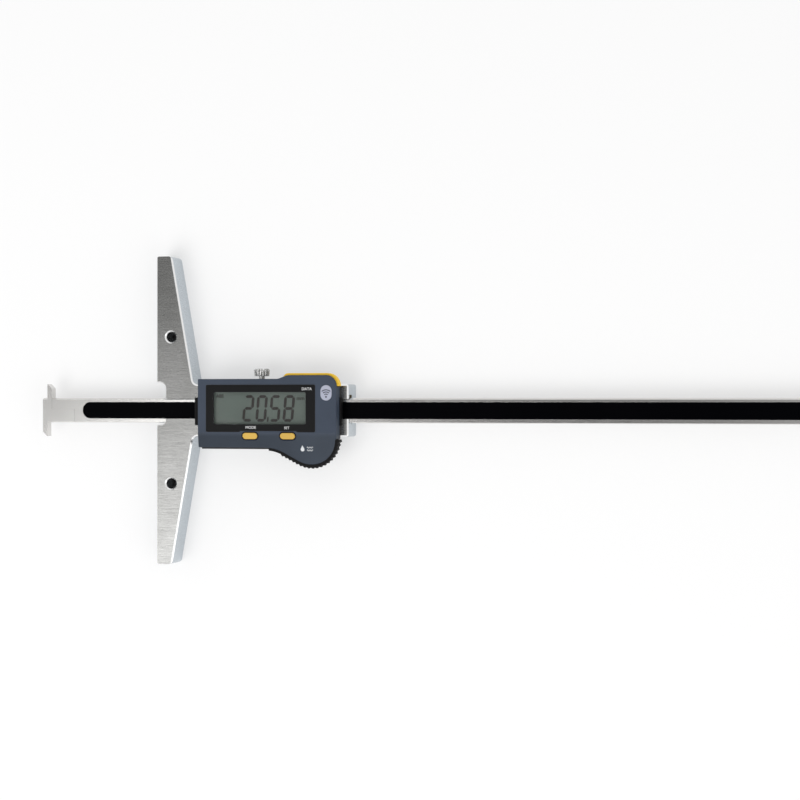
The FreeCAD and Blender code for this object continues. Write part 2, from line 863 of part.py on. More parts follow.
# Keys
def key_mat():
    half_x = key_length / 2 + key_mat_margin
    half_y = key_width / 2 + key_mat_edge
    body = rounded(mode_key_x - half_x, set_key_x + half_x, key_y - half_y, key_y + half_y, key_mat_radius)
    mat = plate(body, board_front, board_front + key_mat_thickness)
    top = skin_back - key_flange_height - key_travel - key_dome_gap
    for x in (mode_key_x, set_key_x):
        mat = mat.fuse(Part.makeCone(key_dome_diameter / 2, key_dome_diameter / 3, top - board_front,
                                     V(x, key_y, board_front)))
    return mat


def face_key(x):
    cap = plate(pill(x, key_y, key_length, key_width), skin_back - key_flange_height, case_front + past)
    cap = cap.cut(facet_wedge(-key_proud))
    upper = [f for f in cap.Faces if f.normalAt(0, 0).z > 0.9]
    cap = cap.makeChamfer(key_edge, upper[0].OuterWire.Edges)
    flange = plate(pill(x, key_y, key_length + 2 * key_flange, key_width + 2 * key_flange),
                   skin_back - key_flange_height, skin_back - part_gap)
    return cap.fuse(flange).removeSplitter()


def data_key_middle():
    return (chassis_front + case_front - front_round) / 2


def data_key_rebate_room():
    """Step in the side of the cover that the key sinks into when it is pressed."""
    low = data_key_middle() - data_key_height / 2 - key_fit
    high = data_key_middle() + data_key_height / 2 + key_fit
    inner = plate(case_outline().makeOffset2D(-data_key_rebate), low - past, high + past)
    room = box(data_key_start_x - key_fit, far * 2, data_key_end_y - data_key_travel - key_fit, far,
               low, high)
    return room.cut(inner)


def data_key():
    low = data_key_middle() - data_key_height / 2
    high = data_key_middle() + data_key_height / 2
    outer = plate(case_outline().makeOffset2D(data_key_proud), low, high)
    body = outer.cut(plate(case_outline().makeOffset2D(data_key_gap - data_key_rebate), 0, far))
    body = body.common(box(data_key_start_x, far * 2, data_key_end_y, far, 0, far))
    bevel = outline([
        (data_key_start_x - past, data_key_foot_y, 0), (data_key_start_x, data_key_foot_y, 0),
        (data_key_start_x + data_key_bevel, plateau_top + data_key_proud + tiny, 0),
        (data_key_start_x - past, plateau_top + data_key_proud + tiny, 0)])
    body = body.cut(plate(bevel, 0, far))
    inner_y = plateau_top - wall
    for x in (data_peg_x, data_peg_second_x):
        body = body.fuse(rod_along_y(x, data_key_middle(), inner_y - part_gap - data_peg_head,
                                     plateau_top + data_key_proud / 2, data_peg_diameter))
        body = body.fuse(rod_along_y(x, data_key_middle(), inner_y - part_gap - data_peg_head,
                                     inner_y - part_gap, data_peg_diameter + 2 * data_peg_head))
    return body.removeSplitter()


def data_switch():
    top = plateau_top - wall - part_gap - data_peg_head - data_key_travel - key_dome_gap
    return box(data_peg_x - data_switch_length / 2, data_peg_x + data_switch_length / 2,
               top - data_switch_depth, top, board_front, board_front + data_switch_height)


# Battery, its contact, cover, seal and screws
def battery():
    z0 = well_bottom + battery_gap
    body = rod(battery_x, battery_y, z0, z0 + battery_height, battery_diameter)
    return body.makeChamfer(battery_edge, edges_where(body, lambda e: e.BoundBox.ZLength < 0.01))


def battery_contact():
    z0 = well_bottom + battery_gap + battery_height
    return Part.makeCone(contact_diameter / 2, contact_diameter / 3, board_back - z0,
                         V(battery_x, battery_y, z0))


def battery_cover():
    ears = cover_ears()
    low = well_bottom - cover_plate_thickness
    body = rod(battery_x, battery_y, low, well_bottom, battery_diameter + 2 * (battery_gap + well_wall))
    for x in ears:
        body = body.fuse(rod(x, battery_y, low, well_bottom, cover_ear))
    body = body.removeSplitter()
    body = body.makeChamfer(cover_edge, edges_where(body, lambda e: e.BoundBox.ZMax < low + 0.01))
    plug = rod(battery_x, battery_y, well_bottom, well_bottom + battery_gap,
               battery_diameter - 2 * battery_seal_width)
    body = body.fuse(plug)
    for x in ears:
        body = body.cut(countersink(x, battery_y, low, well_bottom + past, cover_screw_diameter))
    return body


def battery_seal():
    outer = rod(battery_x, battery_y, well_bottom, well_bottom + battery_gap,
                battery_diameter + 2 * battery_gap - 2 * part_gap)
    inner = rod(battery_x, battery_y, 0, far, battery_diameter - 2 * battery_seal_width + 2 * part_gap)
    return outer.cut(inner)


def battery_screws():
    low = well_bottom - cover_plate_thickness + screw_fit
    return [countersunk(x, battery_y, low, well_bottom + cover_screw_length - screw_fit, cover_screw_diameter)
            for x in cover_ears()]


# Rubber thumb grip, wipers and the badge
def grip_teeth():
    """Saw teeth along the grip's outer line, as one closed face round the lobe."""
    line = case_outline().makeOffset2D(grip_thickness).OuterWire.discretize(Distance=grip_tooth_pitch)
    left = grip_start_x - grip_tooth_pitch
    top = lobe_step_y + grip_tooth_pitch
    on_lobe = [p.x > left and p.y < top for p in line]
    first = on_lobe.index(False)
    run = [p for p in line[first:] + line[:first] if p.x > left and p.y < top]
    if run[0].x > run[-1].x:
        run.reverse()
    points = []
    for a, b in zip(run, run[1:]):
        along = (b - a).normalize()
        out = V(along.y, -along.x, 0)
        points.append(a)
        if a.x > grip_start_x + grip_smooth_length:
            points.append(a + (b - a) * grip_tooth_share + out * grip_tooth_height)
    points.append(run[-1])
    points.append(V(run[-1].x - grip_thickness - past, run[-1].y, 0))
    points.append(V(run[0].x, case_bottom + past, 0))
    return Part.Face(Part.makePolygon(points + points[:1]))


def thumb_grip():
    band = plate(grip_teeth(), chassis_front + grip_foot, case_front).cut(facet_wedge(grip_inset))
    band = band.cut(plate(case_outline().makeOffset2D(grip_fit), 0, far))
    return band.common(box(grip_start_x, far * 2, -far, lobe_step_y - part_gap, 0, far))


def wiper(x0, x1, height):
    low = beam_front + wiper_beam_gap
    body = box(x0, x1, -lower_lip_edge + part_gap, upper_lip_edge - part_gap, low, base_thickness)
    shoe = box(x0, x1, wiper_bottom_y, wiper_top_y, base_thickness, base_thickness + height)
    return body.fuse(shoe).removeSplitter()


def badge_face(grow=0.0):
    half_x = badge_width / 2 + grow
    half_y = badge_height / 2 + grow
    return rounded(badge_x - half_x, badge_x + half_x, badge_y - half_y, badge_y + half_y, half_x - tiny)


def badge():
    return plate(badge_face(), case_front - badge_thickness, case_front + badge_proud)


pieces = {
    "base_frame": base_frame,
    "gib_strip": gib_strip,
    "gib_screws": gib_screws,
    "lock_screw": lock_screw,
    "beam": beam,
    "scale_strip": scale_strip,
    "hook_tip": hook_tip,
    "hook_pins": hook_pins,
    "end_stop": end_stop,
    "end_stop_screws": end_stop_screws,
    "chassis": chassis,
    "case_seal": lambda: seal_ring(part_gap),
    "front_cover": front_cover,
    "case_screws": case_screws,
    "window_bezel": window_bezel,
    "window_lens": window_lens,
    "lcd_panel": lcd_panel,
    "lcd_holder": lcd_holder,
    "elastomer_connector": elastomer_connector,
    "circuit_board": circuit_board,
    "sensor_board": sensor_board,
    "board_link": board_link,
    "controller_chip": controller_chip,
    "key_mat": key_mat,
    "mode_key": lambda: face_key(mode_key_x),
    "set_key": lambda: face_key(set_key_x),
    "data_key": data_key,
    "data_switch": data_switch,
    "battery": battery,
    "battery_contact": battery_contact,
    "battery_cover": battery_cover,
    "battery_seal": battery_seal,
    "battery_screws": battery_screws,
    "thumb_grip": thumb_grip,
    "front_wiper": lambda: wiper(case_left - front_wiper_proud, case_left - part_gap, front_wiper_height),
    "rear_wiper": lambda: wiper(case_right + part_gap, case_right + rear_wiper_proud, rear_wiper_height),
    "badge": badge,
}

os.makedirs("parts", exist_ok=True)
for name, make in pieces.items():
    shape = make()
    if isinstance(shape, list):
        shape = Part.makeCompound(shape)
    elif len(shape.Solids) == 1:
        shape = shape.Solids[0]
    shape.exportStep("parts/" + name + ".step")
    print(name, len(shape.Solids), shape.isValid(), round(shape.Volume, 1), flush=True)
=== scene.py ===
import math

import bpy
from mathutils import Matrix, Vector

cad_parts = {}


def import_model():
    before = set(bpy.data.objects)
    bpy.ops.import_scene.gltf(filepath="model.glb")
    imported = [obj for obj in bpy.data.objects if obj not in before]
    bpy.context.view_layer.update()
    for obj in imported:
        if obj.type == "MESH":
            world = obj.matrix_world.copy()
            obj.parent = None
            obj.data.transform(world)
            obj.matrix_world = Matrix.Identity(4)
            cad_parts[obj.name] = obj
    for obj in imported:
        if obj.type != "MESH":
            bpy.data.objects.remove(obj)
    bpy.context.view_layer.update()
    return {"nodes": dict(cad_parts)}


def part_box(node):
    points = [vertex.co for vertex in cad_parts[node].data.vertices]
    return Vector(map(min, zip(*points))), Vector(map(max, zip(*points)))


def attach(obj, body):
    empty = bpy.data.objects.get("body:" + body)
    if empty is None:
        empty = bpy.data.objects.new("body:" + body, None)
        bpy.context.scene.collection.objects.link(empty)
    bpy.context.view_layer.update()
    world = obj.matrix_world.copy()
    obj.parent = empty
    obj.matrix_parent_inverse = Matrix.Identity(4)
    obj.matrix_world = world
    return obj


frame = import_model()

MM = 0.001


def mm(*values):
    return Vector(values) * MM


# Camera: the photo's viewing angle, from above and 15 degrees from the right
CAMERA_PLACE = mm(367.0, 5.0, 925.2)
CAMERA_YAW = math.radians(15.0)
CAMERA_LENS = 90.0
CAMERA_SENSOR = 36.0
CAMERA_REACH = 20.0

# Softboxes and floor, in metres
KEY_PLACE = (-0.35, -0.55, 1.1)
KEY_SIZE = (0.9, 0.9)
KEY_POWER = 6.0
FILL_PLACE = (0.9, -0.5, 0.7)
FILL_SIZE = (0.8, 0.8)
FILL_POWER = 1.5
LIGHT_AIM = (0.05, 0, 0)
FLOOR_HALF = 6.0

# Sky strength, from HORIZON at a height of SKY_LOW to ZENITH at SKY_HIGH
SKY_LOW = 0.1
SKY_HIGH = 0.8
ZENITH = 0.66
HORIZON = 0.98

# How far below the part the floor lies, how much it glows and how near the part the glow fades, in mm; the
# fading glow is painted shade on the floor near the part
FLOOR_DROP = 0.02
FLOOR_GLOW = 0.42
GLOW_REACH = 12.0

# Dark flags over the gauge, which the steel reflects: direction, inner and outer reach in degrees
FLAGS = [((-0.17, 0.0, 0.985), 4.0, 9.0), ((-0.37, 0.17, 0.91), 6.0, 12.0)]
FLAG_SHADE = 0.12

# Ground and brushed patterns: cells a metre along X, Y and Z
GRIND_BASE = (260.0, 9000.0, 260.0)
GRIND_BEAM = (120.0, 9000.0, 9000.0)
GRIND_PLAIN = (900.0, 900.0, 900.0)
GRIND_BRIGHT = (900.0, 6000.0, 900.0)
STREAKS = (90.0, 1500.0, 90.0)
KNURL = (1500.0, 260.0, 1500.0)
HAIRLINES = (60.0, 5000.0, 60.0)
BADGE_GRAIN = (9000.0, 400.0, 400.0)

# Spans of a noise value that are stretched over the whole range
WIDE = (0.3, 0.7)
NARROW = (0.35, 0.65)

# Span of the openness that fades from shaded to open
SHADED = (0.10, 0.35)

# Painted shade on the case's lower facet, in mm: fade across the facet's edge, and along to the lobe
FACET_FADE_START = 0.5
FACET_FADE_END = -2.5
LOBE_FADE = 30.0

# Colours, as linear values
BLACK = (0.0, 0.0, 0.0)
WHITE = (1.0, 1.0, 1.0)
FRONT_STEEL = (0.38, 0.38, 0.37)
# painted reflection: the brighter, bluer steel of the base's side faces
SIDE_STEEL_PAINTED_REFLECTION = (0.56, 0.61, 0.65)
# painted highlight: the near-white steel of the base's polished chamfers
CHAMFER_STEEL_PAINTED_HIGHLIGHT = (0.90, 0.90, 0.90)
BEAM_STEEL = (0.74, 0.73, 0.71)
PLAIN_STEEL = (0.5, 0.5, 0.5)
BRIGHT_STEEL = (0.80, 0.80, 0.79)
BRASS = (0.62, 0.45, 0.2)
SLATE = (0.046, 0.061, 0.090)
# painted shade of the case's lower facet
SLATE_FACET_PAINTED_SHADE = (0.021, 0.031, 0.048)
# painted shade of the case's lobe, less dark than the facet
SLATE_LOBE_PAINTED_SHADE = (0.034, 0.046, 0.066)
BEZEL = (0.0045, 0.0045, 0.005)
CHASSIS = (0.010, 0.010, 0.012)
RUBBER = (0.006, 0.006, 0.0065)
SCALE = (0.0008, 0.0008, 0.0014)
SEAM = (0.40, 0.39, 0.38)
# painted shade round the keys
KEY_RING_PAINTED_SHADE = (0.006, 0.009, 0.018)
LCD = (0.151, 0.186, 0.163)
LCD_INK = (0.030, 0.022, 0.020)
YELLOW = (0.66, 0.41, 0.065)
# painted light: a brighter, more saturated copy of the key yellow, for the data key
YELLOW_PAINTED_LIGHT = (0.95, 0.60, 0.050)
PRINT_WHITE = (0.86, 0.86, 0.86)
PRINT_PALE = (0.7, 0.72, 0.74)
BADGE = (0.44, 0.46, 0.56)
BADGE_SHEEN = (0.3, 0.3, 0.4)
BADGE_INK = (0.035, 0.04, 0.06)
BOARD = (0.02, 0.12, 0.05)
BOARD_LIGHT = (0.025, 0.15, 0.06)
BOARD_TRACK = (0.05, 0.2, 0.08)
PALE_PLASTIC = (0.6, 0.6, 0.57)
LENS = (0.05, 0.06, 0.06)
LENS_SMEAR = (0.10, 0.11, 0.11)
STEEL_CLOUD = (0.35, 0.36, 0.38)
WORN = (0.5, 0.5, 0.52)
FLOOR = (0.97, 0.97, 0.97)
FLOOR_CLOUD = (0.9, 0.9, 0.9)


# Material building blocks
class Shader:
    """A Principled material whose nodes are added one at a time."""

    def __init__(self, name, metallic=0.0, roughness=0.5, specular=0.5, alpha=1.0):
        self.material = bpy.data.materials.new(name)
        self.material.use_nodes = True
        self.tree = self.material.node_tree
        self.bsdf = self.tree.nodes["Principled BSDF"]
        self.bsdf.inputs["Metallic"].default_value = metallic
        self.bsdf.inputs["Roughness"].default_value = roughness
        self.bsdf.inputs["Specular IOR Level"].default_value = specular
        self.bsdf.inputs["Alpha"].default_value = alpha
        self.place = self.node("ShaderNodeTexCoord").outputs["Object"]
        self.normal = None

    def node(self, kind, **settings):
        made = self.tree.nodes.new(kind)
        for key, value in settings.items():
            setattr(made, key, value)
        return made

    def link(self, a, b):
        self.tree.links.new(a, b)

    def stretched(self, scale):
        mapping = self.node("ShaderNodeMapping")
        mapping.inputs["Scale"].default_value = scale
        self.link(self.place, mapping.inputs["Vector"])
        return mapping.outputs["Vector"]

    def noise(self, scale, stretch=(1, 1, 1), detail=3.0, rough=0.5):
        made = self.node("ShaderNodeTexNoise")
        made.inputs["Scale"].default_value = scale
        made.inputs["Detail"].default_value = detail
        made.inputs["Roughness"].default_value = rough
        self.link(self.stretched(stretch), made.inputs["Vector"])
        return made.outputs["Fac"]

    def ranged(self, value, low, high, to_low=0.0, to_high=1.0, smooth=False):
        made = self.node("ShaderNodeMapRange")
        made.interpolation_type = "SMOOTHSTEP" if smooth else "LINEAR"
        numbers = {"From Min": low, "From Max": high, "To Min": to_low, "To Max": to_high}
        for socket, number in numbers.items():
            made.inputs[socket].default_value = number
        self.link(value, made.inputs["Value"])
        return made.outputs["Result"]

    def mix(self, factor, a, b):
        """Colour a where the factor is 0 and b where it is 1; each may be a value or a socket."""
        made = self.node("ShaderNodeMix", data_type="RGBA")
        for value, socket in ((factor, made.inputs[0]), (a, made.inputs[6]), (b, made.inputs[7])):
            if hasattr(value, "default_value"):
                self.link(value, socket)
            elif isinstance(value, (int, float)):
                socket.default_value = value
            else:
                socket.default_value = (*value, 1.0)
        return made.outputs[2]

    def math(self, operation, a, b=0.0):
        made = self.node("ShaderNodeMath", operation=operation)
        for value, socket in ((a, made.inputs[0]), (b, made.inputs[1])):
            if hasattr(value, "default_value"):
                self.link(value, socket)
            else:
                socket.default_value = value
        return made.outputs[0]

    def axis(self, vector, name):
        made = self.node("ShaderNodeSeparateXYZ")
        self.link(vector, made.inputs[0])
        return made.outputs[name]

    def facing(self, axis):
        """How much the surface faces along an axis of the part."""
        return self.axis(self.node("ShaderNodeTexCoord").outputs["Normal"], axis)

    def bevel(self, radius):
        made = self.node("ShaderNodeBevel", samples=6)
        made.inputs["Radius"].default_value = radius * MM
        self.normal = made.outputs["Normal"]
        self.link(self.normal, self.bsdf.inputs["Normal"])

    def edge(self, radius):
        """1 along outer edges and 0 on the flats, from the rounded normal."""
        rounded = self.node("ShaderNodeBevel", samples=6)
        rounded.inputs["Radius"].default_value = radius * MM
        dot = self.node("ShaderNodeVectorMath", operation="DOT_PRODUCT")
        self.link(rounded.outputs["Normal"], dot.inputs[0])
        self.link(self.node("ShaderNodeNewGeometry").outputs["Normal"], dot.inputs[1])
        return self.ranged(dot.outputs["Value"], 0.995, 0.90)

    def bump(self, height, strength, distance):
        made = self.node("ShaderNodeBump")
        made.inputs["Strength"].default_value = strength
        made.inputs["Distance"].default_value = distance * MM
        self.link(height, made.inputs["Height"])
        if self.normal is not None:
            self.link(self.normal, made.inputs["Normal"])
        self.normal = made.outputs["Normal"]
        self.link(self.normal, self.bsdf.inputs["Normal"])

    def openness(self, reach, low, high):
        """0 deep in holes and slots, 1 in the open; reach in mm."""
        shade = self.node("ShaderNodeAmbientOcclusion", samples=8)
        shade.inputs["Distance"].default_value = reach * MM
        return self.ranged(shade.outputs["AO"], low, high)

    def color(self, value):
        self.link(value, self.bsdf.inputs["Base Color"])

    def roughness(self, value):
        self.link(value, self.bsdf.inputs["Roughness"])


def scaled(color, share):
    return tuple(c * share for c in color)


# Steel
def base_steel():
    """Ground steel of the base: satin fronts, side faces painted brighter and bluer as a painted reflection
    and black deep in the holes as painted shade, and polished chamfers painted near white as a painted
    highlight.
    """
    s = Shader("ground steel", metallic=1.0, roughness=0.25)
    lines = s.noise(1.0, GRIND_BASE, detail=4.0, rough=0.65)
    cloud = s.noise(45.0, detail=2.0)
    streaks = s.noise(1.0, STREAKS, detail=3.0, rough=0.6)
    front = s.mix(s.ranged(lines, *WIDE, 0.0, 0.26), FRONT_STEEL, BLACK)
    front = s.mix(s.ranged(streaks, *WIDE, 0.0, 0.22), front, BLACK)
    front = s.mix(s.ranged(cloud, *NARROW, 0.0, 0.05), front, WHITE)
    upward = s.facing("Z")
    # Painted reflection: faces that point sideways get the brighter, bluer side steel.
    side = s.mix(s.ranged(cloud, *NARROW, 0.0, 0.12), SIDE_STEEL_PAINTED_REFLECTION, STEEL_CLOUD)
    # Painted shade: the side faces turn black where holes and slots are deep.
    side = s.mix(s.openness(6.0, *SHADED), BLACK, side)
    # Painted highlight: the slanted chamfer faces get near-white steel.
    side_and_chamfer_painted_light = s.mix(s.ranged(upward, 0.30, 0.50), side, CHAMFER_STEEL_PAINTED_HIGHLIGHT)
    s.color(s.mix(s.ranged(upward, 0.85, 0.97), side_and_chamfer_painted_light, front))
    s.roughness(s.ranged(lines, *WIDE, 0.20, 0.30))
    s.bevel(0.08)
    s.bump(lines, 0.18, 0.02)
    return s.material


def beam_steel():
    """Satin steel of the beam, ground along its length."""
    s = Shader("beam steel", metallic=1.0, roughness=0.2)
    lines = s.noise(1.0, GRIND_BEAM, detail=4.0, rough=0.65)
    cloud = s.noise(60.0, detail=2.0)
    tone = s.mix(s.ranged(lines, *WIDE, 0.0, 0.14), BEAM_STEEL, BLACK)
    s.color(s.mix(s.ranged(cloud, *NARROW, 0.0, 0.06), tone, WHITE))
    s.roughness(s.ranged(lines, *WIDE, 0.14, 0.24))
    s.bevel(0.08)
    s.bump(lines, 0.15, 0.02)
    return s.material


def bright_metal(name, color, grain):
    """Turned or rolled metal of screws, pins, battery and gib."""
    s = Shader(name, metallic=1.0, roughness=0.2)
    lines = s.noise(1.0, grain, detail=4.0, rough=0.6)
    s.color(s.mix(s.ranged(lines, *WIDE, 0.0, 0.2), color, scaled(color, 0.55)))
    s.roughness(s.ranged(lines, *WIDE, 0.14, 0.3))
    s.bevel(0.12)
    s.bump(lines, 0.2, 0.015)
    return s.material


def knurled_steel():
    """Bright steel whose knurled ridges get a light and dark flicker of painted glints and painted shade,
    with painted shade on the faces that point along X.
    """
    s = Shader("knurled steel", metallic=1.0, roughness=0.2)
    flicker = s.noise(1.0, KNURL, detail=2.0, rough=0.6)
    # Painted shade: a darkened copy of the bright steel.
    shaded = scaled(BRIGHT_STEEL, 0.13)
    knurl_painted_glints = s.mix(s.ranged(flicker, 0.48, 0.64), BRIGHT_STEEL, shaded)
    # Painted shade: faces that point along X are darkened.
    painted_flank_shade = s.ranged(s.math("ABSOLUTE", s.facing("X")), 0.45, 0.85, 0.0, 0.8)
    s.color(s.mix(painted_flank_shade, knurl_painted_glints, shaded))
    s.roughness(s.ranged(flicker, *WIDE, 0.14, 0.3))
    s.bevel(0.08)
    s.bump(flicker, 0.4, 0.05)
    return s.material


# Plastic, rubber, glass and print
def facet_painted_shade(s, color):
    """The colour, turning to the darker slate of the lower facet and of the lobe, as painted shade."""
    height = s.axis(s.place, "Y")
    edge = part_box("window_bezel")[0].y
    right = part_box("window_bezel")[1].x
    # Painted shade: the lower facet darkens, less so towards the lobe.
    facet = s.mix(s.ranged(s.axis(s.place, "X"), right - LOBE_FADE * MM, right), SLATE_FACET_PAINTED_SHADE, SLATE_LOBE_PAINTED_SHADE)
    fade = s.ranged(height, edge + FACET_FADE_START * MM, edge + FACET_FADE_END * MM, smooth=True)
    return s.mix(fade, color, facet)


def moulded(name, color, grain_mm=0.16, rough=0.48, specular=0.35, wear=0.25, bevel=0.2, bump=0.25,
            tone=None):
    """Moulded plastic or rubber with a fine eroded grain and slightly polished edges."""
    s = Shader(name, roughness=rough, specular=specular)
    grain = s.noise(1.0 / (grain_mm * MM), detail=2.0, rough=0.6)
    patch = s.noise(70.0, detail=3.0)
    # A tone, where one is given, paints shade onto the colour; the case's tone darkens its lower facet and
    # lobe.
    base = tone(s, color) if tone else color
    base = s.mix(s.ranged(patch, *NARROW, 0.0, 0.10), base, BLACK)
    base = s.mix(s.ranged(s.edge(0.3), 0.0, 1.0, 0.0, wear * 0.35), base, WORN)
    s.color(base)
    s.roughness(s.ranged(grain, *WIDE, rough - 0.06, rough + 0.08))
    s.bevel(bevel)
    s.bump(grain, bump, 0.03)
    return s.material


def glossy(name, color, rough, specular):
    """Smooth laminate with faint haze and hairline scratches along the beam."""
    s = Shader(name, roughness=rough, specular=specular)
    haze = s.noise(25.0, detail=3.0)
    hair = s.noise(1.0, HAIRLINES, detail=2.0)
    hazy = tuple(c * 2.0 + 0.001 for c in color)
    s.color(s.mix(s.ranged(haze, 0.4, 0.7, 0.0, 0.2), color, hazy))
    s.roughness(s.ranged(hair, 0.35, 0.75, rough, rough + 0.08))
    s.bump(hair, 0.04, 0.01)
    return s.material


def clear_lens():
    s = Shader("lens clear", roughness=0.04, specular=0.5, alpha=0.10)
    smear = s.noise(60.0, detail=3.0)
    s.color(s.mix(s.ranged(smear, 0.4, 0.7), LENS, LENS_SMEAR))
    s.roughness(s.ranged(smear, 0.4, 0.7, 0.03, 0.08))
    return s.material


def lcd_glass():
    """Grey-green display with the faint grid of its unlit segments."""
    s = Shader("lcd glass", roughness=0.35, specular=0.25)
    haze = s.noise(55.0, detail=3.0)
    fine = s.noise(5000.0, detail=1.0)
    tone = s.mix(s.ranged(haze, *WIDE), scaled(LCD, 0.93), scaled(LCD, 1.07))
    s.color(s.mix(s.ranged(fine, 0.4, 0.6, 0.0, 0.08), tone, BLACK))
    return s.material


def printed(name, color, specular=0.3):
    s = Shader(name, roughness=0.45, specular=specular)
    fleck = s.noise(3000.0, detail=2.0)
    s.color(s.mix(s.ranged(fleck, *WIDE, 0.0, 0.12), color, scaled(color, 0.6)))
    return s.material


def circuit(name):
    """Solder mask with faint tracks below it."""
    s = Shader(name, roughness=0.3, specular=0.5)
    tracks = s.node("ShaderNodeTexBrick")
    tracks.inputs["Scale"].default_value = 300.0
    s.link(s.place, tracks.inputs["Vector"])
    for socket, color in (("Color1", BOARD), ("Color2", BOARD_LIGHT), ("Mortar", BOARD_TRACK)):
        tracks.inputs[socket].default_value = (*color, 1.0)
    s.color(tracks.outputs["Color"])
    return s.material


def floor_material():
    """Pale floor that looks white and keeps the shadow of the part."""
    s = Shader("floor", roughness=0.7, specular=0.1)
    s.color(s.mix(s.ranged(s.noise(3.0), *WIDE, 0.0, 0.01), FLOOR, FLOOR_CLOUD))
    path = s.node("ShaderNodeLightPath")
    seen = s.math("MAXIMUM", path.outputs["Is Camera Ray"], path.outputs["Is Glossy Ray"])
    seen = s.math("MAXIMUM", seen, path.outputs["Is Transmission Ray"])
    glow = s.node("ShaderNodeEmission")
    blend = s.node("ShaderNodeMixShader")
    # Painted shade: the glow fades where the part hems the floor in, under the holes and beside the part.
    unshaded = s.openness(GLOW_REACH, *SHADED)
    s.link(s.math("MULTIPLY", s.math("MULTIPLY", seen, unshaded), FLOOR_GLOW), blend.inputs[0])
    s.link(s.bsdf.outputs[0], blend.inputs[1])
    s.link(glow.outputs[0], blend.inputs[2])
    s.link(blend.outputs[0], s.tree.nodes["Material Output"].inputs["Surface"])
    return s.material


def paint(nodes, material):
    for name in nodes:
        data = frame["nodes"][name].data
        data.materials.clear()
        data.materials.append(material)


def finish_nodes():
    paint(["base_frame"], base_steel())
    paint(["beam", "hook_tip"], beam_steel())
    paint(["lock_screw"], knurled_steel())
    paint(["battery", "battery_contact"], bright_metal("bright steel", BRIGHT_STEEL, GRIND_BRIGHT))
    paint(["gib_screws", "hook_pins", "end_stop", "end_stop_screws", "case_screws", "battery_screws"],
          bright_metal("plain steel", PLAIN_STEEL, GRIND_PLAIN))
    paint(["gib_strip"], bright_metal("gib brass", BRASS, GRIND_BEAM))
    paint(["scale_strip"], glossy("scale black", SCALE, rough=0.22, specular=0.02))
    paint(["front_cover"], moulded("case slate", SLATE, specular=0.25, tone=facet_painted_shade))
    paint(["chassis", "battery_cover"], moulded("chassis black", CHASSIS, grain_mm=0.2))
    paint(["window_bezel"], moulded("bezel black", BEZEL, grain_mm=0.1, rough=0.4, specular=0.15, wear=0.15,
                                    bevel=0.12, bump=0.12))
    paint(["window_lens"], clear_lens())
    paint(["lcd_panel"], lcd_glass())
    paint(["thumb_grip", "front_wiper", "rear_wiper", "case_seal", "battery_seal", "key_mat",
           "elastomer_connector"],
          moulded("rubber black", RUBBER, grain_mm=0.25, rough=0.6, specular=0.12, wear=0.15, bump=0.3))
    paint(["mode_key", "set_key"],
          moulded("key yellow", YELLOW, grain_mm=0.12, rough=0.42, wear=0.0, bevel=0.25, bump=0.15))
    # Painted light: the data key gets a brighter copy of the key yellow.
    paint(["data_key"],
          moulded("key yellow painted light", YELLOW_PAINTED_LIGHT, grain_mm=0.12, rough=0.5, specular=0.15, wear=0.0, bump=0.15))
    paint(["lcd_holder", "board_link"], moulded("pale plastic", PALE_PLASTIC, wear=0.0))
    paint(["circuit_board", "sensor_board"], circuit("solder mask"))
    paint(["controller_chip", "data_switch"], moulded("chip black", CHASSIS, rough=0.3))
    paint(["badge"], badge_material())


def badge_material():
    s = Shader("badge silver", metallic=0.35, roughness=0.35)
    sheen = s.noise(1.0, BADGE_GRAIN, detail=3.0)
    s.color(s.mix(s.ranged(sheen, *WIDE, 0.0, 0.15), BADGE, BADGE_SHEEN))
    s.bevel(0.15)
    return s.material


# Printed and displayed figures, as thin raised shapes
PRINT_GAP = 0.012
PRINT_THICKNESS = 0.01


def middle(name):
    """Middle of a node's box across X and Y, in mm."""
    low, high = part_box(name)
    return (low.x + high.x) / 2 / MM, (low.y + high.y) / 2 / MM


def arc(x, y, radius, start, end, steps):
    """Points on an arc about (x, y), in mm, from one angle to the other in degrees."""
    turns = (math.radians(start + (end - start) * i / steps) for i in range(steps + 1))
    return [(x + radius * math.cos(a), y + radius * math.sin(a)) for a in turns]


def mesh_object(name, points, faces, material, body):
    data = bpy.data.meshes.new(name)
    data.from_pydata(points, [], faces)
    data.materials.append(material)
    made = bpy.data.objects.new(name, data)
    bpy.context.scene.collection.objects.link(made)
    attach(made, body)
    return made


class Sheet:
    """Collects flat outlines, in mm, and stands them up as thin prisms of one mesh."""

    def __init__(self, z, thickness=0.02):
        self.z = z
        self.thickness = thickness
        self.points = []
        self.faces = []

    def add(self, outline):
        start = len(self.points)
        count = len(outline)
        for level in (self.z, self.z + self.thickness):
            self.points += [mm(x, y, level) for x, y in outline]
        self.faces.append([start + i for i in reversed(range(count))])
        self.faces.append([start + count + i for i in range(count)])
        for i in range(count):
            j = (i + 1) % count
            self.faces.append([start + i, start + j, start + count + j, start + count + i])

    def band(self, inner, outer):
        """A strip between two open lines of as many points, as quads."""
        for i in range(len(inner) - 1):
            self.add([outer[i], outer[i + 1], inner[i + 1], inner[i]])

    def make(self, name, material, body):
        return mesh_object(name, self.points, self.faces, material, body)


